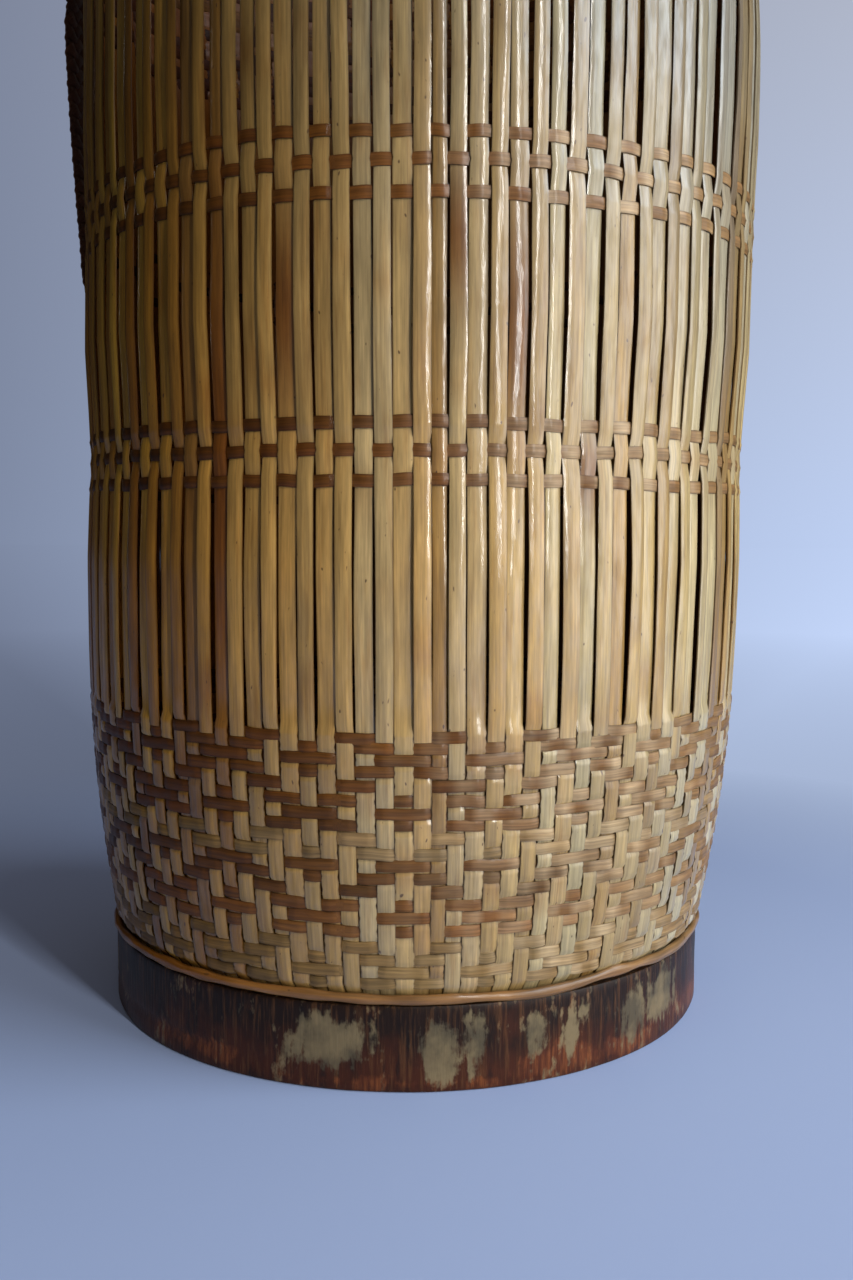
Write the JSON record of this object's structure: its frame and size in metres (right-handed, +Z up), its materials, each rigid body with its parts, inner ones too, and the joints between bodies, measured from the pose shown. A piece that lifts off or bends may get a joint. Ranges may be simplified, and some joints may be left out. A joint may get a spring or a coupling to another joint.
{
  "type": "woven bamboo storage basket",
  "caption": "Tall round storage basket of split bamboo with cane bands, a wood foot hoop, a wrapped rim and a carrying strap.",
  "frame": {"origin": "centre of the bounding box, on the surface that the basket stands on; the basket's own vertical axis is at x = 3.47 mm, since the strap sticks out on the -X side", "axes": "+Z up along the basket's own axis, -Y towards the front that the picture shows, and the strap at the back left (-X, +Y)"},
  "size_m": [0.2312, 0.2242, 0.413],
  "materials": {
    "stake_bamboo": "split bamboo, smooth skin side out, satin to glossy with handling",
    "weft_cane": "dark brown split cane, glossy",
    "honey_cane": "honey-coloured split cane, satin",
    "foot_wood": "dark stained bent wood, mottled and worn, satin",
    "hoop_bamboo": "bamboo hoop, satin",
    "strap_fibre": "plaited dark cane, satin"
  },
  "bodies": {
    "basket": {"stake_wall": "stake_bamboo", "base_mat": "stake_bamboo", "lower_band_top_weft": "weft_cane", "lower_band_middle_weft": "weft_cane", "lower_band_bottom_weft": "weft_cane", "upper_band_top_weft": "weft_cane", "upper_band_middle_weft": "weft_cane", "upper_band_bottom_weft": "weft_cane", "foot_hoop": "foot_wood", "foot_inner_hoop": "hoop_bamboo", "foot_cane_binding": "honey_cane", "rim_outer_hoop": "hoop_bamboo", "rim_inner_hoop": "hoop_bamboo", "rim_cap_cane": "hoop_bamboo", "rim_wrapping": "honey_cane", "strap_loop_lower": "weft_cane", "strap_loop_upper": "weft_cane"},
    "strap": {"carrying_strap": "strap_fibre", "strap_tie_lower": "weft_cane", "strap_tie_upper": "weft_cane"}
  },
  "joints": [
    {"name": "strap_swing", "type": "hinge", "parent": "basket", "child": "strap", "pos_m": [-0.10031, 0.04229, 0.282], "axis": [0, 0, 1], "range_deg": [-35, 35]}
  ]
}
